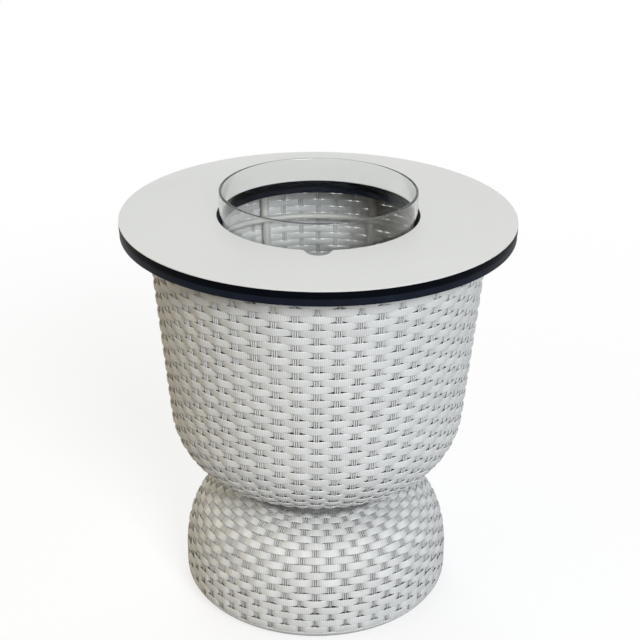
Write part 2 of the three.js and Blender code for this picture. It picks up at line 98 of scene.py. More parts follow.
def signed_volume(points: Array, faces: Sequence[Array]) -> float:
    """Adds up the volume under each face, seen from the origin. It is positive when faces point outwards.

    Args:
        points: a row for each point.
        faces: blocks of faces with the same number of corners.

    Returns:
        The volume that the faces close in.
    """
    volume = 0.0
    for block in faces:
        corners = points[block]
        for corner in range(1, block.shape[1] - 1):
            across = np.cross(corners[:, corner], corners[:, corner + 1])
            volume += float(np.einsum("ij,ij->", corners[:, 0], across)) / 6
    return volume


@dataclass
class Surface:
    """A closed surface as arrays, before it becomes a mesh."""

    points: Array
    faces: list[Array]
    strand_map: Array | None = None
    values: dict[str, Array] = field(default_factory=dict)

    def facing_out(self) -> "Surface":
        """Turns the faces round if they point inwards.

        Returns:
            The surface with its faces pointing outwards.
        """
        if signed_volume(self.points, self.faces) >= 0:
            return self
        turned_faces = [block[:, ::-1] for block in self.faces]
        turned_map = self.strand_map
        if turned_map is not None:
            turned_map = turned_map.reshape(-1, 4, 2)[:, ::-1].reshape(-1, 2)
        return Surface(self.points, turned_faces, turned_map, self.values)

    def piece(self, name: str) -> bpy.types.Object:
        """Puts the arrays into a mesh.

        Args:
            name: the piece's name.

        Returns:
            An object at the origin, unturned and unscaled, with its place in its mesh.
        """
        surface = self.facing_out()
        corners = np.concatenate([block.ravel() for block in surface.faces]).astype(np.int32)
        sizes = np.concatenate([np.full(len(block), block.shape[1]) for block in surface.faces])
        starts = np.concatenate([[0], np.cumsum(sizes)[:-1]]).astype(np.int32)
        mesh = bpy.data.meshes.new(name)
        mesh.vertices.add(len(surface.points))
        mesh.vertices.foreach_set("co", surface.points.astype(np.float32).ravel())
        mesh.loops.add(len(corners))
        mesh.loops.foreach_set("vertex_index", corners)
        mesh.polygons.add(len(sizes))
        mesh.polygons.foreach_set("loop_start", starts)
        mesh.update(calc_edges=True)
        mesh.shade_smooth()
        if surface.strand_map is not None:
            layer = mesh.uv_layers.new(name=STRAND_MAP)
            layer.uv.foreach_set("vector", surface.strand_map.astype(np.float32).ravel())
        for value_name, values in surface.values.items():
            attribute = mesh.attributes.new(value_name, "FLOAT", "POINT")
            attribute.data.foreach_set("value", values.astype(np.float32).ravel())
        piece = bpy.data.objects.new(name, mesh)
        bpy.context.scene.collection.objects.link(piece)
        return piece


def tubes(points: Array, closed: bool, dirt: Array | None = None) -> Surface:
    """Skins a set of like tubes. Each is a grid of steps along it by corners round it.

    Args:
        points: tubes by steps by corners by three.
        closed: whether each tube runs back into itself. An open one gets a flat face on both ends.
        dirt: the painted shade at each point.

    Returns:
        One surface with all the tubes.
    """
    count, steps, corners, _ = points.shape
    first = np.arange(count)[:, None] * steps * corners
    sides = grid_faces(steps, corners, closed)
    faces = [(sides[None] + first[:, :, None]).reshape(-1, 4)]
    if not closed:
        ends = np.arange(corners)[None, :]
        faces += [first + ends[:, ::-1], first + (steps - 1) * corners + ends]
    return Surface(points.reshape(-1, 3), faces, values={} if dirt is None else {PAINTED_SHADE: dirt})


def around(radius: Array, height: Array, angle: Array, lateral: Array = 0.0) -> Array:
    """Places points about the table's axis: at a radius and an angle, then moved sideways, square to the radius.

    Args:
        radius: distances from the axis.
        height: heights above the floor.
        angle: angles about the axis.
        lateral: moves sideways. All four have shapes that fit together.

    Returns:
        Points, with x and y as the radius times the angle's direction plus the move times the direction across it.
    """
    radius, height, angle, lateral = np.broadcast_arrays(radius, height, angle, lateral)
    x = radius * np.cos(angle) - lateral * np.sin(angle)
    y = radius * np.sin(angle) + lateral * np.cos(angle)
    return np.stack([x, y, height], axis=-1)


def turned(profile: Array, turns: int, closed: bool) -> Surface:
    """Turns a profile about the table's axis.

    Args:
        profile: points in radius and height.
        turns: steps round the axis.
        closed: whether the profile runs back into itself. An open one ends in flat discs.

    Returns:
        A surface whose points lie at every profile point and every angle.
    """
    angle = np.arange(turns) * FULL_TURN / turns
    points = around(profile[:, None, 0], profile[:, None, 1], angle[None, :])
    return tubes(points[None], closed)


# Flat curves, as points in radius and height or in x and y


def line(start: Pair, end: Pair, steps: int) -> Array:
    """Points evenly along a straight line, both ends included."""
    share = np.linspace(0, 1, steps + 1)[:, None]
    return np.asarray(start) * (1 - share) + np.asarray(end) * share


def arc(centre: Pair, reach: float | Pair, first: float, last: float, steps: int) -> Array:
    """Points along an ellipse, both ends included: its centre plus its reach times each angle's cosine and sine."""
    angle = np.linspace(first, last, steps + 1)
    return np.asarray(centre) + np.asarray(reach) * np.stack([np.cos(angle), np.sin(angle)], axis=-1)


def bezier(handles: Sequence[Pair], steps: int, first: float = 0.0) -> Array:
    """Points of a cubic curve, the sum of its four handles weighed by the shares and what is left of them.

    Args:
        handles: start, two handles and end.
        steps: parts between points.
        first: the share of the first point, from 0 to 1. The last one's is 1.

    Returns:
        Points with both ends included.
    """
    start, leave, arrive, end = (np.asarray(handle, float) for handle in handles)
    on = np.linspace(first, 1, steps + 1)[:, None]
    left = 1 - on
    return left**3 * start + 3 * left**2 * on * leave + 3 * left * on**2 * arrive + on**3 * end


def chained(parts: Sequence[Array]) -> Array:
    """Runs curves on into each other, with each shared end kept once."""
    return np.concatenate([parts[0]] + [part[1:] for part in parts[1:]])


def left_of(along: Array) -> Array:
    """Unit vectors a quarter turn to the left of flat directions."""
    along = along / np.linalg.norm(along, axis=1, keepdims=True)
    return np.stack([-along[:, 1], along[:, 0]], axis=-1)


@dataclass(frozen=True)
class Outline:
    """A wall's outer outline, from its top down, that can be read at any distance along it."""

    points: Array

    @cached_property
    def lengths(self) -> Array:
        """The distance of each point from the start, along the outline."""
        return np.concatenate([[0], np.cumsum(np.linalg.norm(np.diff(self.points, axis=0), axis=1))])

    @cached_property
    def outward(self) -> Array:
        """The direction out of the wall at each point."""
        return left_of(np.gradient(self.points, self.lengths, axis=0))

    @property
    def length(self) -> float:
        """The whole length of the outline."""
        return float(self.lengths[-1])

    def shifted(self, distance: Array, lift: Array) -> tuple[Array, Array]:
        """Reads the outline and moves each point out square to it.

        Args:
            distance: how far along the outline.
            lift: how far out of it, below zero for inwards.

        Returns:
            Radius and height of each point.
        """
        columns = (*self.points.T, *self.outward.T)
        radius, height, out_radius, out_height = (np.interp(distance, self.lengths, each) for each in columns)
        return radius + lift * out_radius, height + lift * out_height

    def inset(self, depth: float) -> Array:
        """The outline moved in by a depth, as points in radius and height."""
        return np.stack(self.shifted(self.lengths, -depth), axis=-1)


# Finishes


class Nodes:
    """A node tree, with short calls for what the finishes and the surround lay down."""

    def __init__(self, owner: bpy.types.Material | bpy.types.World) -> None:
        """Starts with the empty tree of its owner.

        Args:
            owner: the material or the world.
        """
        owner.use_nodes = True
        self.tree = owner.node_tree
        self.tree.nodes.clear()

    def add(self, kind: str, inputs: dict[str | int, object] | None = None, **settings: object) -> bpy.types.Node:
        """Adds a node.

        Args:
            kind: Blender's name of the node type.
            inputs: what its inputs are fed, by their names or their order.
            settings: values of its own properties.

        Returns:
            The new node.
        """
        node = self.tree.nodes.new(kind)
        for name, value in settings.items():
            setattr(node, name, value)
        for key, value in (inputs or {}).items():
            self.feed(node.inputs[key], value)
        return node

    def feed(self, target: Socket, value: object) -> None:
        """Joins a socket to an input, or sets the input to a plain value.

        Args:
            target: the input.
            value: a socket or a plain value. A colour may come without its fourth number.
        """
        if isinstance(value, Socket):
            self.tree.links.new(value, target)
        elif target.type == "RGBA" and len(value) == 3:
            target.default_value = (*value, 1)
        else:
            target.default_value = value

    def object_place(self) -> Socket:
        """Where a point lies in the table's frame. In the surround it is the direction looked in."""
        return self.add("ShaderNodeTexCoord").outputs["Object"]

    def attribute(self, name: str) -> Socket:
        """A value that the mesh carries at its points."""
        return self.add("ShaderNodeAttribute", attribute_name=name).outputs["Fac"]

    def first_of(self, vector: Socket) -> Socket:
        """The first of a vector's numbers."""
        return self.add("ShaderNodeSeparateXYZ", {"Vector": vector}).outputs["X"]

    def noise(self, place: Socket, size: float, detail: float = 3.0) -> Socket:
        """Soft random spots about a half. They lie a size apart, and detail is how many finer layers they have."""
        return self.add("ShaderNodeTexNoise", {"Scale": 1 / size, "Detail": detail, "Vector": place}).outputs["Fac"]

    def ramp(self, value: Socket, low: float, high: float, to_low: float, to_high: float) -> Socket:
        """Carries a value from one range to another and keeps it there."""
        ranges = {"From Min": low, "From Max": high, "To Min": to_low, "To Max": to_high}
        return self.add("ShaderNodeMapRange", {"Value": value, **ranges}).outputs["Result"]

    def about(self, noise: Socket, middle: float, swing: float) -> Socket:
        """Carries the usual span of a noise to a span about a middle."""
        return self.ramp(noise, *NOISE_SPAN, middle - swing, middle + swing)

    def math(self, operation: str, first: object, second: object = 0.0) -> Socket:
        """Works out one sum on sockets or plain numbers."""
        return self.add("ShaderNodeMath", {0: first, 1: second}, operation=operation).outputs["Value"]

    def all_of(self, operation: str, *values: object) -> Socket:
        """Works out the same sum over all of some sockets and plain numbers, in turn."""
        return reduce(lambda result, value: self.math(operation, result, value), values)

    def shade(self, value: Socket, dark: object, light: object) -> Socket:
        """Mixes two colours by a value from 0 to 1.

        Args:
            value: the share of the light colour.
            dark: a socket, or red, green and blue at 0.
            light: red, green and blue at 1.

        Returns:
            The mixed colour.
        """
        node = self.add("ShaderNodeMix", {"Factor": value}, data_type="RGBA")
        colours = [socket for socket in node.inputs if socket.type == "RGBA"]
        for socket, colour in zip(colours, (dark, light)):
            self.feed(socket, colour)
        return next(socket for socket in node.outputs if socket.type == "RGBA")


class ShaderNodes(Nodes):
    """The node tree of one material, which holds one Principled shader."""

    def __init__(self, name: str) -> None:
        """Starts the material.

        Args:
            name: the finish's name.
        """
        self.material = bpy.data.materials.new(name)
        super().__init__(self.material)
        self.shader = self.add("ShaderNodeBsdfPrincipled")
        self.surface = self.add("ShaderNodeOutputMaterial", {"Surface": self.shader.outputs["BSDF"]}).inputs["Surface"]

    def set(self, **values: object) -> None:
        """Joins sockets to the shader, or sets plain values on it. A name's underscores stand for spaces."""
        for name, value in values.items():
            self.feed(self.shader.inputs[name.replace("_", " ")], value)

    def relief(self, height: Socket, depth: float) -> Socket:
        """A relief of a depth, from its height between 0 and 1."""
        return self.add("ShaderNodeBump", {"Distance": depth, "Height": height}).outputs["Normal"]


class Finish(Protocol):
    """What every finish can do."""

    def material(self) -> bpy.types.Material:
        """Builds the finish's material."""
        ...


@cache
def material_of(finish: Finish) -> bpy.types.Material:
    """Builds a finish's material when it is first asked for, and gives the same one after that."""
    return finish.material()


@dataclass(frozen=True)
class Cane:
    """Extruded synthetic cane: fine ribs across each strand, painted shade in the weave's recesses and a little tone.
    """

    name: str = "pale_cane"
    light: Colour = (0.83, 0.84, 0.838)
    dark: Colour = (0.08, 0.078, 0.075)
    middle: float = 0.91
    rib_spacing: float = 2.3 * MM
    rib_depth: float = 0.16 * MM
    rib_share: float = 0.06
    rib_drift: float = 0.6
    drift_size: float = 9 * MM
    tone_share: float = 0.035
    dirt_share: float = 0.68
    cloud_share: float = 0.015
    cloud_size: float = 30 * MM
    roughness: float = 0.51
    roughness_swing: float = 0.06
    specular: float = 0.35

    def material(self) -> bpy.types.Material:
        """Builds the cane.

        Returns:
            A material whose ribs follow the strand map, and which darkens with the square of the painted shade.
        """
        nodes = ShaderNodes(self.name)
        place = nodes.object_place()
        drift = nodes.math("MULTIPLY", nodes.noise(place, self.drift_size, 1.0), self.rib_drift * self.rib_spacing)
        along = nodes.math("ADD", nodes.first_of(nodes.add("ShaderNodeUVMap", uv_map=STRAND_MAP).outputs["UV"]), drift)
        wave = nodes.math("SINE", nodes.math("MULTIPLY", along, FULL_TURN / self.rib_spacing))
        rib = nodes.ramp(wave, -1, 1, 0, 1)
        cloud = nodes.noise(place, self.cloud_size)
        # Painted shade: the cane darkens with the square of this attribute.
        dirt = nodes.attribute(PAINTED_SHADE)
        shade = nodes.all_of(
            "ADD",
            nodes.math("MULTIPLY", nodes.attribute(TONE), self.tone_share),
            nodes.about(cloud, 0, self.cloud_share),
            # The ribs' colour follows their relief, lighter on crests and darker in hollows: a painted shade besides
            # the bump.
            nodes.ramp(rib, 0, 1, -self.rib_share, self.rib_share),
            self.middle,
            nodes.all_of("MULTIPLY", dirt, dirt, -self.dirt_share),
        )
        nodes.set(
            Base_Color=nodes.shade(shade, self.dark, self.light),
            Specular_IOR_Level=self.specular,
            Roughness=nodes.about(cloud, self.roughness, self.roughness_swing),
            Normal=nodes.relief(rib, self.rib_depth),
        )
        return nodes.material


@dataclass(frozen=True)
class Grained:
    """A board, coat, rubber or metal: a soft cloud in its colour, and a fine grain in its gloss and relief."""

    name: str
    colour: Colour
    roughness: float
    grain: float
    grain_depth: float
    metal: float = 0.0
    specular: float = 0.5
    spread: float = 0.06
    swing: float = 0.08
    cloud: float = 20 * MM
    grain_length: float = 1.0

    def material(self) -> bpy.types.Material:
        """Builds the finish. A grain length above one stretches the grain into level lines.

        Returns:
            A material whose colour runs a share below and above its own.
        """
        nodes = ShaderNodes(self.name)
        place = nodes.object_place()
        stretched = nodes.add("ShaderNodeMapping", {"Vector": place, "Scale": (1, 1, self.grain_length)})
        grain = nodes.noise(stretched.outputs["Vector"], self.grain_length * self.grain)
        cloud = nodes.about(nodes.noise(place, self.cloud), 0.5, 0.5)
        colour = np.asarray(self.colour)
        nodes.set(
            Base_Color=nodes.shade(cloud, colour * (1 - self.spread), np.minimum(colour * (1 + self.spread), 1)),
            Metallic=self.metal,
            Specular_IOR_Level=self.specular,
            Roughness=nodes.about(grain, self.roughness, self.swing),
            Normal=nodes.relief(grain, self.grain_depth),
        )
        return nodes.material


@dataclass(frozen=True)
class Laminate(Grained):
    """Satin laminate with a very even colour."""

    name: str = "satin_laminate"
    colour: Colour = (0.765, 0.768, 0.765)
    roughness: float = 0.42
    grain: float = 0.9 * MM
    grain_depth: float = 0.012 * MM
    specular: float = 0.2
    spread: float = 0.012
    swing: float = 0.05
    cloud: float = 120 * MM


@dataclass(frozen=True)
class DarkBoard(Grained):
    """A black board with a satin machined edge: fine lines run along it and its sheen is uneven."""

    grain: float = 1.1 * MM
    grain_depth: float = 0.02 * MM
    spread: float = 0.25
    swing: float = 0.07
    cloud: float = 25 * MM
    grain_length: float = 30.0


@dataclass(frozen=True)
class Acrylic:
    """Clear polished acrylic. Light from the lamps passes it, a little dimmed, and reaches what is behind it."""

    name: str = "polished_acrylic"
    colour: Colour = (0.98, 0.983, 0.98)
    passed: Colour = (0.955, 0.958, 0.953)
    refraction: float = 1.49
    roughness: float = 0.02
    haze: float = 60 * MM
    haze_span: tuple[float, float] = (0.4, 0.7)

    def material(self) -> bpy.types.Material:
        """Builds the acrylic.

        Returns:
            A material that is glass to the eye and a plain clear filter to the light on other surfaces.
        """
        nodes = ShaderNodes(self.name)
        haze = nodes.noise(nodes.object_place(), self.haze)
        nodes.set(
            Base_Color=self.colour,
            IOR=self.refraction,
            Transmission_Weight=1.0,
            Roughness=nodes.ramp(haze, *self.haze_span, self.roughness, 2 * self.roughness),
        )
        clear = nodes.add("ShaderNodeBsdfTransparent", {"Color": self.passed}).outputs["BSDF"]
        path = nodes.add("ShaderNodeLightPath").outputs
        light = nodes.math("MAXIMUM", path["Is Shadow Ray"], path["Is Diffuse Ray"])
        mix = nodes.add("ShaderNodeMixShader", {0: light, 1: nodes.shader.outputs["BSDF"], 2: clear})
        nodes.feed(nodes.surface, mix.outputs["Shader"])
        return nodes.material


class Dressing(Enum):
    """The table's finishes, each with the record's material slot."""

    LAMINATE = ("white_laminate", Laminate())
    # The core is near black, its own colour; its faint blue tint is a painted reflection.
    CORE = ("black_core", DarkBoard("core_board", (0.002, 0.003, 0.005), 0.4, specular=0.02))
    # The backing is near black, its own colour; its navy tint is a painted reflection.
    BOARD = ("black_board", DarkBoard("under_board", (0.0065, 0.0095, 0.018), 0.45, specular=0.07))
    CANE = ("pale_weave", Cane())
    COAT = ("powder_coat", Grained("rod_coat", (0.70, 0.69, 0.66), 0.5, 0.6 * MM, 0.02 * MM))
    SHEET = ("shelf_sheet", Grained("brushed_sheet", (0.07, 0.072, 0.075), 0.6, 1.2 * MM, 0.01 * MM, 1.0))
    ACRYLIC = ("clear_acrylic", Acrylic())
    SILICONE = ("grey_silicone", Grained("soft_pad", (0.27, 0.29, 0.29), 0.7, 0.8 * MM, 0.02 * MM))
    RUBBER = ("black_rubber", Grained("glide_rubber", (0.012, 0.013, 0.014), 0.75, 0.7 * MM, 0.03 * MM))
    STEEL = ("bright_steel", Grained("screw_steel", (0.50, 0.51, 0.53), 0.3, 0.4 * MM, 0.008 * MM, 1.0))

    @property
    def slot(self) -> str:
        """The record's material slot."""
        return self.value[0]

    @property
    def material(self) -> bpy.types.Material:
        """The finish's material."""
        return material_of(self.value[1])


def dress(piece: bpy.types.Object, dressing: Dressing, body: str, *nodes: str) -> None:
    """Gives a new piece its finish, its body and the nodes it stands for.

    Args:
        piece: the new piece.
        dressing: its finish.
        body: the body that it rides on.
        nodes: the frame's nodes that it replaces.
    """
    piece.data.materials.append(dressing.material)
    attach(piece, body)
    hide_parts(*nodes)
    log.info("%s: %d faces, %s, for %s", piece.name, len(piece.data.polygons), dressing.slot, ", ".join(nodes))


def dress_node(name: str, dressing: Dressing) -> None:
    """Gives a node of the frame a detailed finish and leaves its shape alone.

    Args:
        name: the node's name.
        dressing: its finish.
    """
    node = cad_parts[name]
    node.data.materials.clear()
    node.data.materials.append(dressing.material)
    log.info("%s: frame node, %s", name, dressing.slot)


# The woven body


@dataclass(frozen=True)
class Strands:
    """Sizes of the flat strands that a wall is woven from.

    A strand's section is given by its corners: how far across and how far out each lies, as shares of half its size.
    A row's slow waves are each given as turns round the wall, the angle from row to row and the share of the wobble.
    """

    wall: float = 4.4 * MM
    width_over: float = 8.9 * MM
    width_between: float = 8.55 * MM
    width_behind: float = 6.1 * MM
    thickness: float = 1.3 * MM
    stake_width: float = 1.9 * MM
    stake_thickness: float = 1.6 * MM
    stake_gap: float = 0.45 * MM
    stake_strands: int = 3
    stake_corners: int = 6
    stake_margin: float = 0.6 * MM
    stake_bulge: float = 0.12 * MM
    # Painted shade on the stakes: a floor level, with more on their sides and backs.
    stake_painted_shade: float = 0.2
    slim_stake_share: float = 0.34
    slim_gain: float = 1.6
    # An even painted shade over a whole wall.
    even_painted_shade: float = 0.0
    # Painted shade on the rows' inner faces: strong below the lower inside height, light above the upper one.
    inside_painted_shade: tuple[float, float] = (1.15, 0.15)
    crease: float = 0.96
    steps_per_stake: int = 8
    samples_per_row: int = 2
    row_waves: tuple[tuple[float, float, float], ...] = ((3, 0.37, 1.0), (7, -0.23, 0.6))
    row_wobble: float = 0.35 * MM
    float_wobble: float = 0.16 * MM
    swing_change: float = 0.05
    row_tone: float = 0.7
    section_across: tuple[float, ...] = (-1, -0.94, -0.8, 0.8, 0.94, 1, 1, 0.88, -0.88, -1)
    section_out: tuple[float, ...] = (0.2, 0.84, 1, 1, 0.84, 0.2, -0.4, -1, -1, -0.4)

    @property
    def swing(self) -> float:
        """How far a row passes in and out of the wall's middle."""
        return (self.wall - self.thickness) / 2

    def width(self, lift: Array) -> Array:
        """A strand's width: the curve of second degree through its widths behind, between and over the stakes.

        Args:
            lift: from -1 behind a stake to 1 over one.

        Returns:
            The width at each lift.
        """
        lean = (self.width_over - self.width_behind) / 2
        bend = (self.width_over + self.width_behind) / 2 - self.width_between
        return self.width_between + lean * lift + bend * lift**2


@dataclass
class WovenWall:
    """A wall of rows that pass over and behind stakes. Rows and stakes follow the wall's outline."""

    name: str
    outline: Outline
    stakes: int
    pitch: float
    first_row: float
    rows: int
    behind_parity: int
    slim_rows: tuple[float, float]
    seed: int
    strands: Strands
    groove: tuple[float, float] | None = None
    inside_heights: tuple[float, float] = (300 * MM, 350 * MM)

    def fullness(self, distance: Array) -> Array:
        """How far a place lies from the slim rows: 0 among them, evenly up to 1 over one row beyond them.

        Args:
            distance: how far along the outline each place lies.

        Returns:
            The share at each place.
        """
        from_start = distance / self.pitch - self.slim_rows[0]
        from_end = (self.outline.length - distance) / self.pitch - self.slim_rows[1]
        return np.clip(np.minimum(from_start, from_end), 0, 1)

    def with_painted_shade(self, dirt: Array, distance: Array) -> Array:
        """Adds an even painted shade, and painted shade in the groove at the neck, which thins out evenly.

        Args:
            dirt: the painted shade of the weave's own recesses.
            distance: how far along the outline each point lies.

        Returns:
            The larger of the two at each point.
        """
        with_even_shade = self.strands.even_painted_shade + (1 - self.strands.even_painted_shade) * dirt
        if self.groove is None:
            return with_even_shade
        # Painted shade in the neck groove: full at the groove's first distance, gone at its second.
        return np.maximum(with_even_shade, np.interp(distance, self.groove, (1, 0)))

    def uneven(self, random: np.random.Generator, count: int) -> Array:
        """Small steady changes from stake to stake, eased by half a cosine between them.

        Args:
            random: a seeded source.
            count: rows to make them for.

        Returns:
            A value for each row and each step round it.
        """
        steps = self.strands.steps_per_stake
        at_stakes = random.normal(0, 1, (count, self.stakes))
        ease = (1 - np.cos(HALF_TURN * np.arange(steps) / steps)) / 2
        following = np.roll(at_stakes, -1, axis=1)
        eased = at_stakes[:, :, None] * (1 - ease) + following[:, :, None] * ease
        return eased.reshape(count, -1)

    def weavers(self, first: int, last: int) -> Surface:
        """Lays the rows. A row's lift is asin(k cos(a)) / asin(k), with a half turn of a from stake to stake.

        That is a row of straight slopes with a short bend at each stake. Among the slim rows the slopes are steeper
        and cut off at 1, so that each strand lies flat up to the next stake. The width grows with the lift, so it is
        full over a stake and narrow behind one, and the row's middle wanders by its slow waves. Each corner is read
        from the outline at the row's place plus its share of half the width. Painted shade on the outer faces runs
        from 0 on a crest to 1 where a face lies deepest, by the cube of the share. On the inner faces the painted
        shade falls with the height.

        Args:
            first: the first row.
            last: the row after the last.

        Returns:
            Closed strands that run round the wall.
        """
        strands = self.strands
        count = last - first
        row = np.arange(first, last)[:, None]
        place = self.first_row + self.pitch * row
        steps = self.stakes * strands.steps_per_stake
        turn = np.arange(steps)[None, :]
        angle = turn * FULL_TURN / steps
        random = np.random.default_rng(self.seed + first)
        sign = np.where((row - self.behind_parity) % 2 == 0, -1, 1)
        wave = sign * np.cos(HALF_TURN * turn / strands.steps_per_stake)
        steeper = 1 + strands.slim_gain * (1 - self.fullness(place))
        lift = np.arcsin(strands.crease * wave) / math.asin(strands.crease)
        lift = np.minimum(steeper * (lift + 1) - 1, 1)
        wander = strands.row_wobble * sum(
            share * np.sin(turns * angle + step * row) for turns, step, share in strands.row_waves
        )
        wander = wander + strands.float_wobble * self.uneven(random, count)
        swing = strands.swing * (1 - strands.swing_change * np.abs(self.uneven(random, count)).clip(0, 1))
        across, out = np.array([strands.section_across, strands.section_out])
        distance = (place + wander)[..., None] + (strands.width(lift) / 2)[..., None] * across
        depth = -strands.wall / 2 + (swing * lift)[..., None] + strands.thickness / 2 * out
        radius, height = self.outline.shifted(distance, depth)
        points = around(radius, height, (FRONT + angle)[..., None])
        middle_radius, _ = self.outline.shifted(place, 0.0)
        reach = np.arange(steps + 1)[None, :] * FULL_TURN / steps * middle_radius + random.uniform(0, 1, (count, 1))
        side = np.append(across, across[0])
        strand_map = np.stack(np.broadcast_arrays(reach[..., None], side), axis=-1)
        tone = self.uneven(random, count) + random.normal(0, strands.row_tone, (count, 1))
        # Painted shade: outer faces darken where they lie deepest, inner faces darken lower down.
        inside = np.interp(height, self.inside_heights, strands.inside_painted_shade)
        dirt = self.with_painted_shade(np.where(out < 0, inside, ((1 - lift[..., None] * out) / 2) ** 3), distance)
        surface = tubes(points, True, dirt)
        surface.strand_map = np.concatenate([cells(each).reshape(-1, 2) for each in strand_map])
        surface.values[TONE] = np.broadcast_to(tone[..., None], radius.shape)
        return surface

    def stake_strands(self) -> Surface:
        """Lays the upright strands. Each is an oval tube that follows the outline, a little to its stake's side.

        Near the ends of the wall the strands of a stake draw together and get thinner, by a smooth step.

        Returns:
            Open tubes with flat ends.
        """
        strands = self.strands
        samples = strands.samples_per_row * round(self.outline.length / self.pitch)
        distance = np.linspace(strands.stake_margin, self.outline.length - strands.stake_margin, samples)[:, None]
        near = self.fullness(distance)
        slim = strands.slim_stake_share
        spread = slim + (1 - slim) * near * near * (3 - 2 * near)
        stake = np.arange(self.stakes)[:, None, None, None]
        side = (np.arange(strands.stake_strands) - (strands.stake_strands - 1) / 2)[None, :, None, None]
        corner = np.arange(strands.stake_corners) * FULL_TURN / strands.stake_corners
        lateral = side * (strands.stake_width + strands.stake_gap) + strands.stake_width / 2 * np.cos(corner)
        row = (distance - self.first_row) / self.pitch
        bulge = np.cos(HALF_TURN * (row - self.behind_parity + stake))
        depth = -strands.wall / 2 + strands.stake_bulge * bulge + strands.stake_thickness / 2 * np.sin(corner)
        # Painted shade on each stake strand: a floor level, more on its sides and back and where it passes behind a
        # row.
        dirt = strands.stake_painted_shade + (1 - strands.stake_painted_shade) * (1 - bulge * np.sin(corner)) / 2
        radius, height = self.outline.shifted(distance, depth)
        points = around(radius, height, FRONT + stake * FULL_TURN / self.stakes, lateral * spread)
        dirt = np.broadcast_to(self.with_painted_shade(dirt, distance), points.shape[:-1])
        return tubes(points.reshape(-1, samples, strands.stake_corners, 3), False, dirt)


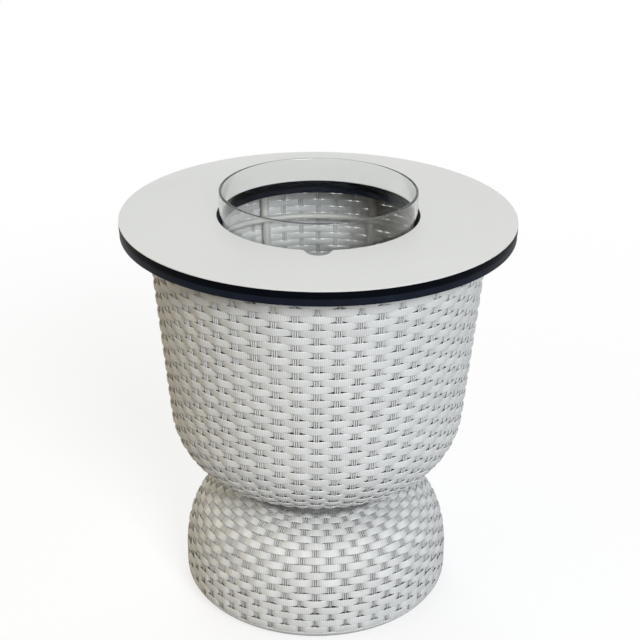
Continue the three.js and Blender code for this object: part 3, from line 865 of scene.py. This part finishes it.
@dataclass
class WovenBody:
    """The hourglass body: the bucket's weave, the base's weave and the binding at the floor."""

    body: str = "table"
    bucket_stakes: int = 52
    base_stakes: int = 56
    bucket_pitch: float = 8.6 * MM
    base_pitch: float = 8.78 * MM
    bucket_first_row: float = 5.7 * MM
    bucket_slim_rows: tuple[float, float] = (2.5, 0)
    base_slim_rows: tuple[float, float] = (0, 4)
    bucket_seed: int = 17
    base_seed: int = 41
    top_radius: float = 195 * MM
    belly_arc: float = 88.3 * MM
    belly_radius: float = 87 * MM
    belly_height: float = 245.3 * MM
    neck_radius: float = 84 * MM
    neck_fillet: float = 7 * MM
    shoulder_drop: float = 106 * MM
    dome_slope: float = math.radians(8.4)
    dome_handle_share: float = 0.46
    wall_handle_share: float = 0.692
    wall_top: float = 40 * MM
    foot_width: float = 25.3 * MM
    foot_height: float = 21 * MM
    binding_start: float = math.radians(20)
    binding_end: float = math.radians(92)
    # How much the binding is darkened evenly, through the same attribute as the weave's painted shade.
    binding_darkening: float = 0.6
    binding_turns: int = 192
    last_row_gap: float = 1.8 * MM
    # Where the painted shade in the neck groove thins out, as distances along the base's outline.
    groove: tuple[float, float] = (14 * MM, 27 * MM)
    curve_steps: int = 160
    fillet_steps: int = 24
    foot_steps: int = 12
    neck_steps: int = 4
    weave: Strands = Strands()
    # The dome's weave has stronger painted shade on its stakes and an even painted shade all over.
    dome_weave: Strands = Strands(
        width_over=8.75 * MM,
        width_between=8.6 * MM,
        width_behind=7.9 * MM,
        stake_width=1.85 * MM,
        stake_gap=0.55 * MM,
        stake_painted_shade=0.4,
        even_painted_shade=0.25,
    )

    def __post_init__(self) -> None:
        """Reads the tabletop's underside, the base's radius and the floor gap from the frame, and places the neck."""
        self.top_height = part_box("backing_plate")[0].z
        self.base_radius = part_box("wicker_base")[1].x
        self.floor_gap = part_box("foot_binding")[0].z
        self.foot_centre = np.array([self.base_radius - self.foot_width, self.floor_gap + self.foot_height])
        self.dome_height = self.belly_height - self.shoulder_drop
        self.neck_centre = self.neck_radius + self.neck_fillet
        reach = self.belly_arc + self.neck_fillet
        self.neck_side = self.neck_centre - self.belly_radius
        self.upper_neck = self.belly_height - math.sqrt(reach**2 - self.neck_side**2)
        self.lower_neck = self.dome_height + self.neck_fillet * math.cos(self.dome_slope)
        self.seam = (self.upper_neck + self.lower_neck) / 2

    @property
    def graze_angle(self) -> float:
        """The angle where a line from the top rim just touches the belly's circle."""
        across, up = self.top_radius - self.belly_radius, self.top_height - self.belly_height
        return math.atan2(up, across) - math.acos(self.belly_arc / math.hypot(across, up))

    @property
    def dome_handles(self) -> Array:
        """Places the handles of the dome's curve: its shoulder, a point down its slope, one above the wall, the wall.

        Returns:
            Four points in radius and height.
        """
        rise = self.dome_height - self.wall_top
        slope = np.array([math.cos(self.dome_slope), -math.sin(self.dome_slope)])
        start = np.array([self.neck_centre - self.neck_fillet * math.sin(self.dome_slope), self.dome_height])
        leave = start + self.dome_handle_share * rise * slope
        arrive = [self.base_radius, self.wall_top + self.wall_handle_share * rise]
        return np.array([start, leave, arrive, [self.base_radius, self.wall_top]])

    @cached_property
    def bucket_outline(self) -> Outline:
        """Joins up the bucket's outline: a straight side, the round belly, a fillet and the neck.

        Returns:
            The outline from the tabletop down to the seam.
        """
        centre = (self.belly_radius, self.belly_height)
        end = math.atan2(self.upper_neck - self.belly_height, self.neck_side)
        belly = arc(centre, self.belly_arc, self.graze_angle, end, self.curve_steps)
        neck_centre = (self.neck_centre, self.upper_neck)
        fillet = arc(neck_centre, self.neck_fillet, end + HALF_TURN, HALF_TURN, self.fillet_steps)
        side = line((self.top_radius, self.top_height), belly[0], self.curve_steps)
        neck = line(fillet[-1], (self.neck_radius, self.seam), self.neck_steps)
        return Outline(chained([side, belly, fillet, neck]))

    @cached_property
    def base_outline(self) -> Outline:
        """Joins up the base's outline: the neck, a fillet, the dome, the upright wall and the turn to the binding.

        Returns:
            The outline from the seam down to the binding.
        """
        neck_centre = (self.neck_centre, self.lower_neck)
        fillet_end = HALF_TURN + QUARTER_TURN - self.dome_slope
        fillet = arc(neck_centre, self.neck_fillet, HALF_TURN, fillet_end, self.fillet_steps)
        neck = line((self.neck_radius, self.seam), fillet[0], self.neck_steps)
        dome = bezier(self.dome_handles, self.curve_steps)
        wall = line(dome[-1], (self.base_radius, self.foot_centre[1]), self.foot_steps)
        foot = arc(self.foot_centre, (self.foot_width, self.foot_height), 0, -self.binding_start, self.foot_steps)
        return Outline(chained([neck, fillet, dome, wall, foot]))

    def bucket_wall(self) -> WovenWall:
        """The bucket's weave. Its rows are counted down from the tabletop.

        Returns:
            The wall, with the first row behind the front stake.
        """
        return WovenWall(
            name="bucket",
            outline=self.bucket_outline,
            stakes=self.bucket_stakes,
            pitch=self.bucket_pitch,
            first_row=self.bucket_first_row,
            rows=int((self.bucket_outline.length - self.bucket_first_row) // self.bucket_pitch) + 1,
            behind_parity=0,
            slim_rows=self.bucket_slim_rows,
            seed=self.bucket_seed,
            strands=self.weave,
        )

    def base_wall(self) -> WovenWall:
        """The base's weave. Its rows are counted back from the binding, so that the last one is whole.

        Returns:
            The wall, with the last row over the front stake.
        """
        woven = self.base_outline.length - self.last_row_gap
        rows = round(woven / self.base_pitch)
        return WovenWall(
            name="base",
            outline=self.base_outline,
            stakes=self.base_stakes,
            pitch=self.base_pitch,
            first_row=woven - self.base_pitch * (rows - 0.5),
            rows=rows,
            behind_parity=rows % 2,
            slim_rows=self.base_slim_rows,
            seed=self.base_seed,
            strands=self.dome_weave,
            groove=self.groove,
        )

    def binding(self) -> Surface:
        """The plain band that the weave ends in: an arc of the foot's ellipse and the same arc moved in by the wall.

        Returns:
            A closed ring.
        """
        reach = (self.foot_width, self.foot_height)
        band = Outline(arc(self.foot_centre, reach, -self.binding_start, -self.binding_end, self.fillet_steps))
        profile = np.concatenate([band.points, band.inset(self.weave.wall)[::-1]])
        surface = turned(profile, self.binding_turns, True)
        # The whole band is darkened evenly by the binding's share.
        surface.values[PAINTED_SHADE] = np.full(len(surface.points), self.binding_darkening)
        return surface

    def build(self) -> None:
        """Builds and dresses the woven pieces."""
        for wall in (self.bucket_wall(), self.base_wall()):
            middle = wall.rows // 2
            for part, surface in (
                ("upper_rows", wall.weavers(0, middle)),
                ("lower_rows", wall.weavers(middle, wall.rows)),
                ("stakes", wall.stake_strands()),
            ):
                dress(surface.piece(f"{wall.name}_{part}"), Dressing.CANE, self.body, f"wicker_{wall.name}")
        dress(self.binding().piece("foot_band"), Dressing.CANE, self.body, "foot_binding")


# The frame of rods


@dataclass
class RodFrame:
    """The rings and bent rods inside the weave, as smooth tubes in the places of the frame's nodes."""

    woven: WovenBody
    body: str = "table"
    ring_names: tuple[str, ...] = ("top_ring", "upper_ring", "shelf_ring", "waist_ring", "belly_ring", "foot_ring")
    ring_facet: float = math.radians(7.5)
    rods: int = 8
    first_rod: float = math.radians(22.5)
    rod_radius: float = 5 * MM
    clearance: float = 0.3 * MM
    belly_turn: float = math.radians(46)
    belly_handle_share: float = 0.65
    waist_handle_share: float = 0.76
    waist_standoff: float = 3 * MM
    skirt_handle_share: float = 0.42
    dome_meet_share: float = 0.41
    foot_turn: float = math.radians(51)
    ring_steps: int = 120
    tube_corners: int = 14
    side_steps: int = 12
    belly_steps: int = 30
    waist_steps: int = 24
    skirt_steps: int = 19
    dome_steps: int = 39
    wall_steps: int = 4

    @property
    def inset(self) -> float:
        """How far inside the weave's outline the rods' middles run."""
        return self.woven.weave.wall + self.clearance + self.rod_radius

    @property
    def waist_radius(self) -> float:
        """How far from the axis the rods pass the waist ring."""
        return self.woven.neck_radius - self.woven.weave.wall - self.waist_standoff - self.rod_radius

    def ring(self, name: str) -> Surface:
        """A round tube. The node's box gives its height and thickness, and its widest corner its radius.

        Args:
            name: the ring's node.

        Returns:
            A tube whose points lie at the ring's radius plus the bar's radius times a cosine.
        """
        low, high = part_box(name)
        bar = (high.z - low.z) / 2
        radius = high.x / math.cos(self.ring_facet) - bar
        section = arc((radius, (high.z + low.z) / 2), bar, 0, FULL_TURN, self.tube_corners)[:-1]
        return turned(section, self.ring_steps, True)

    def rod(self, path: Array, angle: float) -> Surface:
        """A rod that follows a flat path stood up at an angle. Its skin lies its radius off the path, all round.

        Args:
            path: points in radius and height.
            angle: the rod's angle about the table's axis.

        Returns:
            An open tube with flat ends.
        """
        corner = np.arange(self.tube_corners) * FULL_TURN / self.tube_corners
        side = left_of(np.gradient(path, axis=0))
        flat = path[:, None] + self.rod_radius * np.cos(corner)[None, :, None] * side[:, None]
        return tubes(around(flat[..., 0], flat[..., 1], angle, self.rod_radius * np.sin(corner))[None], False)

    def bucket_path(self) -> Array:
        """The bucket rods' path: the outline's side and belly moved in, and a curve on to the waist ring.

        Returns:
            Points in radius and height.
        """
        woven = self.woven
        centre = (woven.belly_radius, woven.belly_height)
        belly = arc(centre, woven.belly_arc - self.inset, woven.graze_angle, -self.belly_turn, self.belly_steps)
        top_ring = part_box("top_ring")[0].z - self.clearance
        lean = np.array([math.cos(woven.graze_angle), math.sin(woven.graze_angle)])
        rim = np.array([woven.top_radius, woven.top_height]) - self.inset * lean
        share = (rim[1] - top_ring) / (rim[1] - belly[0, 1])
        side = line(rim * (1 - share) + belly[0] * share, belly[0], self.side_steps)
        end = np.array([self.waist_radius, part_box("waist_ring")[1].z + self.clearance])
        fall = belly[-1, 1] - end[1]
        down = np.array([-math.sin(self.belly_turn), -math.cos(self.belly_turn)])
        leave = belly[-1] + self.belly_handle_share * fall * down
        arrive = end + [0, self.waist_handle_share * fall]
        return chained([side, belly, bezier([belly[-1], leave, arrive, end], self.waist_steps)])

    def base_path(self) -> Array:
        """The base rods' path: a curve from the waist ring on to the dome moved in, the wall and the foot.

        Returns:
            Points in radius and height.
        """
        woven = self.woven
        dome = Outline(bezier(woven.dome_handles, self.dome_steps, self.dome_meet_share)).inset(self.inset)
        start = np.array([self.waist_radius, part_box("waist_ring")[0].z - self.clearance])
        handle = self.skirt_handle_share * float(np.linalg.norm(dome[0] - start))
        along = (dome[1] - dome[0]) / np.linalg.norm(dome[1] - dome[0])
        skirt = bezier([start, start - [0, handle], dome[0] - handle * along, dome[0]], self.skirt_steps)
        radius = woven.base_radius - self.inset
        wall = line((radius, woven.wall_top), (radius, woven.foot_centre[1]), self.wall_steps)
        reach = (woven.foot_width - self.inset, woven.foot_height - self.inset)
        foot = arc(woven.foot_centre, reach, 0, -self.foot_turn, self.side_steps)
        return chained([skirt, dome, wall, foot])

    def build(self) -> None:
        """Builds and dresses the rings and rods."""
        for name in self.ring_names:
            dress(self.ring(name).piece(name + "_tube"), Dressing.COAT, self.body, name)
        paths = (("bucket_rod", self.bucket_path()), ("base_rod", self.base_path()))
        for number in range(self.rods):
            angle = self.first_rod + number * FULL_TURN / self.rods
            for part, path in paths:
                node = f"{part}_{number + 1}"
                dress(self.rod(path, angle).piece(node + "_tube"), Dressing.COAT, self.body, node)


# The tabletop


@dataclass(frozen=True)
class HoleShape:
    """The round hole with its finger notch at the front, read at two radii: the face's and the ledge's."""

    radius: float
    notch_radius: float = 14 * MM
    notch_offset: float = 1 * MM
    notch_fillet: float = 5 * MM
    round_steps: int = 220
    fillet_steps: int = 8
    notch_steps: int = 24

    def points(self, radius: float) -> Array:
        """The hole's outline: the round part, a fillet, the notch's arc and a fillet back.

        Args:
            radius: the round part's radius.

        Returns:
            Points in x and y, the same number for every radius.
        """
        notch_distance = self.radius + self.notch_offset
        fillet_distance = radius + self.notch_fillet
        reach = self.notch_radius + self.notch_fillet
        cosine = (fillet_distance**2 + notch_distance**2 - reach**2) / (2 * fillet_distance * notch_distance)
        spread = math.acos(cosine)
        right = FRONT + spread
        notch = np.array([0, -notch_distance])
        centre = fillet_distance * np.array([math.cos(right), math.sin(right)])
        towards = math.atan2(*(centre - notch)[::-1])
        rounded = arc((0, 0), radius, right, right + FULL_TURN - 2 * spread, self.round_steps)
        leaving = arc(centre * [-1, 1], self.notch_fillet, -right, -towards, self.fillet_steps)
        bottom = arc(notch, self.notch_radius, -HALF_TURN - towards, towards, self.notch_steps)
        arriving = arc(centre, self.notch_fillet, towards + HALF_TURN, right + HALF_TURN, self.fillet_steps)
        return chained([rounded, leaving, bottom, arriving])[:-1]


@dataclass
class Tabletop:
    """The white face, the black core with its ledge and the black backing plate, each with fine rounded edges."""

    body: str = "table"
    edge: float = 0.25 * MM
    edge_steps: int = 3
    ledge_depth: float = 2.8 * MM
    ledge_width: float = 2.2 * MM
    hole: HoleShape = HoleShape(115.5 * MM)
    lip_depth: float = 1.3 * MM
    lip_radius: float = 206 * MM

    def wall(self, outline: Array, places: Sequence[Pair]) -> list[Array]:
        """Loops round the hole.

        Args:
            outline: the hole's outline.
            places: for each loop how far it is moved into the board, and its height.

        Returns:
            A loop for each place.
        """
        into = -left_of(np.roll(outline, -1, axis=0) - np.roll(outline, 1, axis=0))
        return [np.column_stack([outline + reach * into, np.full(len(into), height)]) for reach, height in places]

    def rim(self, outline: Array, places: Sequence[Pair]) -> list[Array]:
        """Loops round the board: circles with a point beyond each point of the hole's outline.

        Args:
            outline: the hole's outline.
            places: for each loop its radius and its height.

        Returns:
            A loop for each place.
        """
        angle = np.arctan2(outline[:, 1], outline[:, 0])
        return [around(radius, height, angle) for radius, height in places]

    def layer(self, low: float, high: float, radius: float, ledge: bool, narrow: bool, lip: float) -> Surface:
        """One board: loops across the top, down the rim, across the underside and up the hole's wall.

        A rounded edge is a quarter circle of the edge's radius, with a loop three radii off to keep the flats flat.

        Args:
            low: the underside's height.
            high: the top's height.
            radius: the board's radius.
            ledge: whether the hole has a ledge cut into its top.
            narrow: whether the hole is as narrow as the ledge leaves it.
            lip: how far the board's rim hangs below its underside.

        Returns:
            A closed surface.
        """
        wide = self.hole.points(self.hole.radius)
        small = self.hole.points(self.hole.radius - self.ledge_width)
        lower = small if narrow or ledge else wide
        upper = small if narrow and not ledge else wide
        edge, steps = self.edge, self.edge_steps
        keep = 3 * edge
        bottom = low - lip
        outer = radius - edge
        loops = self.wall(upper, [*arc((edge, high - edge), edge, HALF_TURN, QUARTER_TURN, steps), (keep, high)])
        loops += self.rim(wide, [(radius - keep, high), *arc((outer, high - edge), edge, QUARTER_TURN, 0, steps)])
        loops += self.rim(wide, [(radius, (low + high) / 2)])
        loops += self.rim(wide, [*arc((outer, bottom + edge), edge, 0, -QUARTER_TURN, steps), (radius - keep, bottom)])
        if lip:
            loops += self.rim(wide, [(self.lip_radius + lip, bottom), (self.lip_radius, low)])
        loops += self.wall(lower, [(keep, low), *arc((edge, low + edge), edge, -QUARTER_TURN, -HALF_TURN, steps)])
        if ledge:
            face_low, face_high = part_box("tabletop_face")
            step = high - self.ledge_depth + face_high.z - face_low.z
            loops += self.wall(small, [(0, step - edge), (0, step), (edge, step)])
            loops += self.wall(wide, [(-edge, step), (0, step), (0, step + edge)])
        points = np.stack(loops + self.wall(upper, [(0, high - 2 * edge)]))
        return tubes(points[None], True)

    def build(self) -> None:
        """Builds and dresses the three boards."""
        for node, name, dressing, ledge, narrow, lip in (
            ("tabletop_face", "top_laminate", Dressing.LAMINATE, False, False, 0.0),
            ("tabletop_core", "top_core", Dressing.CORE, True, True, 0.0),
            ("backing_plate", "top_backing", Dressing.BOARD, False, True, self.lip_depth),
        ):
            low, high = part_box(node)
            surface = self.layer(low.z, high.z, high.x, ledge, narrow, lip)
            dress(surface.piece(name), dressing, self.body, node)


# The bowl and what carries it


@dataclass
class IceBowl:
    """The clear bowl: a straight wall with a full round rim, a rounded corner and a flat floor."""

    body: str = "bowl"
    wall: float = 3.2 * MM
    floor: float = 4 * MM
    corner: float = 14 * MM
    guard: float = 0.4 * MM
    centre: float = 3 * MM
    turns: int = 180
    corner_steps: int = 14
    rim_steps: int = 12

    def straight(self, start: Pair, end: Pair) -> Array:
        """A straight part of the profile with a point close to each end, which keeps its shading flat.

        Args:
            start: its first point in radius and height.
            end: its last point.

        Returns:
            Four points.
        """
        near = self.guard / math.dist(start, end)
        share = np.array([0, near, 1 - near, 1])[:, None]
        return np.asarray(start) * (1 - share) + np.asarray(end) * share

    def build(self) -> None:
        """Builds and dresses the bowl. Its profile runs up the outside, over the rim and down the inside."""
        low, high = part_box("ice_bowl")
        radius = high.x
        inner_radius = radius - self.wall
        inner_corner = self.corner - self.wall
        inner_floor = low.z + self.floor
        bend = (radius - self.corner, low.z + self.corner)
        rim = (radius - self.wall / 2, high.z - self.wall / 2)
        inside = (bend[0], inner_floor + inner_corner)
        profile = chained(
            [
                self.straight((self.centre, low.z), (bend[0], low.z)),
                arc(bend, self.corner, FRONT, 0, self.corner_steps),
                self.straight((radius, bend[1]), (radius, rim[1])),
                arc(rim, self.wall / 2, 0, HALF_TURN, self.rim_steps),
                self.straight((inner_radius, rim[1]), (inner_radius, inside[1])),
                arc(inside, inner_corner, 0, FRONT, self.corner_steps),
                self.straight((inside[0], inner_floor), (self.centre, inner_floor)),
            ]
        )
        dress(turned(profile, self.turns, False).piece("clear_bowl"), Dressing.ACRYLIC, self.body, "ice_bowl")


@dataclass
class Fittings:
    """The shelf, pads, tabs, screws and glides, whose shapes the frame already has right."""

    count: int = 4

    def build(self) -> None:
        """Dresses the frame's nodes."""
        dress_node("shelf_plate", Dressing.SHEET)
        for part, dressing in (
            ("bowl_pad", Dressing.SILICONE),
            ("fixing_tab", Dressing.COAT),
            ("fixing_screw", Dressing.STEEL),
            ("foot_tab", Dressing.COAT),
            ("glide", Dressing.RUBBER),
            ("glide_screw", Dressing.STEEL),
        ):
            for number in range(1, self.count + 1):
                dress_node(f"{part}_{number}", dressing)


# The studio


@dataclass(frozen=True)
class Lamp:
    """A square soft lamp that looks at the table's middle, placed by its turn from the front and its height.

    One that isn't mirrored lights matt surfaces and shows in no gloss.
    """

    name: str
    right: float
    above: float
    distance: float
    size: float
    level: float
    colour: Colour
    mirrored: bool = True


@dataclass
class Studio:
    """A pale floor, soft lamps, a white surround and the camera at the photograph's angle."""

    floor_reach: float = 9.0
    floor_shade: float = 0.28
    floor_cloud: float = 0.4
    floor_mottle: float = 0.01
    floor_roughness: float = 0.9
    floor_glow: float = 0.75
    floor_fade: tuple[float, float] = (0.5, 1.5)
    foot_reach: tuple[float, float] = (0.122, 0.138)
    ambient: float = 0.12
    window: Colour = (0.80, 0.63, 0.36)
    camera_place: tuple[float, float, float] = (2.8 * MM, -1.4817, 1.0241)
    camera_tilt: float = math.radians(65.41)
    camera_roll: float = math.radians(0.5)
    lens: float = 78.08
    sensor: float = 36.0
    middle: tuple[float, float, float] = (0, 0, 0.3)
    lamps: tuple[Lamp, ...] = (
        Lamp("key_lamp", math.radians(22), math.radians(28), 4.0, 1.4, 0.88, (0.935, 0.97, 1.0)),
        Lamp("back_lamp", math.radians(180), math.radians(50), 3.6, 2.4, 0.31, (0.82, 0.93, 1.0)),
        Lamp("rear_lamp", math.radians(195), math.radians(8), 4.0, 2.0, 0.34, (0.86, 0.93, 1.0), mirrored=False),
    )

    def seen_share(self, nodes: Nodes) -> Socket:
        """One for rays from the camera, from gloss and through glass, and zero for the light on matt surfaces.

        Args:
            nodes: the tree that it is laid down in.

        Returns:
            The share.
        """
        path = nodes.add("ShaderNodeLightPath").outputs
        share = nodes.all_of("MAXIMUM", path["Is Camera Ray"], path["Is Glossy Ray"], path["Is Transmission Ray"])
        return nodes.math("MULTIPLY", share, nodes.math("LESS_THAN", path["Diffuse Depth"], 0.5))

    def surround(self) -> None:
        """A world that is white where it is seen. It lights the table at the ambient level, and warmly from the left.

        The warm share of a direction is how far it points to the left, from 0 to 1, like light from a wide window.
        """
        world = bpy.data.worlds.new("surround")
        nodes = Nodes(world)
        left = nodes.ramp(nodes.first_of(nodes.object_place()), -1, 0, 1, 0)
        light = nodes.shade(left, (self.ambient,) * 3, self.window)
        background = nodes.add("ShaderNodeBackground", {"Color": nodes.shade(self.seen_share(nodes), light, WHITE)})
        nodes.add("ShaderNodeOutputWorld", {"Surface": background.outputs["Background"]})
        bpy.context.scene.world = world

    def floor(self) -> None:
        """A large pale floor. It glows a little where it is seen and keeps the table's shadow.

        Away from the table its own colour fades evenly with distance and the glow takes over, so that it runs on into
        the white surround. Under the table it doesn't glow, which leaves a painted contact shadow there.
        """
        corners = np.array([[-1, -1, 0], [1, -1, 0], [1, 1, 0], [-1, 1, 0]])
        floor = Surface(self.floor_reach * corners, [np.array([[0, 1, 2, 3]])]).piece("studio_floor")
        nodes = ShaderNodes("pale_floor")
        place = nodes.object_place()
        distance = nodes.add("ShaderNodeVectorMath", {0: place}, operation="LENGTH").outputs["Value"]
        fade = nodes.ramp(distance, *self.floor_fade, 0, 1)
        # Painted contact shadow: the glow stops inside the foot's reach, under the table.
        glow_beyond_shadow = nodes.ramp(distance, *self.foot_reach, 0, 1)
        cloud = nodes.ramp(nodes.noise(place, self.floor_cloud), 0, 1, 1 - self.floor_mottle, 1 + self.floor_mottle)
        near = nodes.math("MULTIPLY", nodes.math("SUBTRACT", 1.0, fade), cloud)
        glow = nodes.ramp(fade, 0, 1, self.floor_glow, 1)
        nodes.set(
            Base_Color=nodes.shade(near, BLACK, (self.floor_shade,) * 3),
            Roughness=self.floor_roughness,
            Specular_IOR_Level=0.0,
            Emission_Color=WHITE,
            Emission_Strength=nodes.all_of("MULTIPLY", self.seen_share(nodes), glow, glow_beyond_shadow),
        )
        floor.data.materials.append(nodes.material)

    def hang(self, lamp: Lamp) -> None:
        """Hangs one lamp, with a power of its level times pi squared times the square of its distance.

        With that power a white face square to its light renders at its level.

        Args:
            lamp: the lamp.
        """
        data = bpy.data.lights.new(lamp.name, "AREA")
        data.size = lamp.size
        data.energy = lamp.level * math.pi**2 * lamp.distance**2
        data.color = lamp.colour
        turn = FRONT + lamp.right
        level_reach = math.cos(lamp.above)
        towards = Vector((level_reach * math.cos(turn), level_reach * math.sin(turn), math.sin(lamp.above)))
        hung = bpy.data.objects.new(lamp.name, data)
        hung.visible_transmission = False
        hung.visible_glossy = lamp.mirrored
        hung.location = Vector(self.middle) + lamp.distance * towards
        hung.rotation_euler = (-towards).to_track_quat("-Z", "Y").to_euler()
        bpy.context.scene.collection.objects.link(hung)

    def camera(self) -> None:
        """The camera, tilted down and rolled a little about its own axis."""
        data = bpy.data.cameras.new("camera")
        data.lens = self.lens
        data.sensor_width = self.sensor
        camera = bpy.data.objects.new("camera", data)
        camera.location = self.camera_place
        camera.rotation_mode = "ZXY"
        camera.rotation_euler = (self.camera_tilt, 0, self.camera_roll)
        bpy.context.scene.collection.objects.link(camera)
        bpy.context.scene.camera = camera

    def build(self) -> None:
        """Sets up the whole studio."""
        bpy.context.scene.view_settings.view_transform = "Standard"
        self.surround()
        self.floor()
        for lamp in self.lamps:
            self.hang(lamp)
        self.camera()


def main() -> None:
    """Builds the table in order, then the studio, and logs the new pieces' face counts and the nodes' finishes."""
    logging.basicConfig(level=logging.INFO, format="%(name)s: %(message)s")
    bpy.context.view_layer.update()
    woven = WovenBody()
    for part in (woven, RodFrame(woven), Tabletop(), IceBowl(), Fittings(), Studio()):
        log.info("building %s", type(part).__name__)
        part.build()


if __name__ == "__main__":
    main()
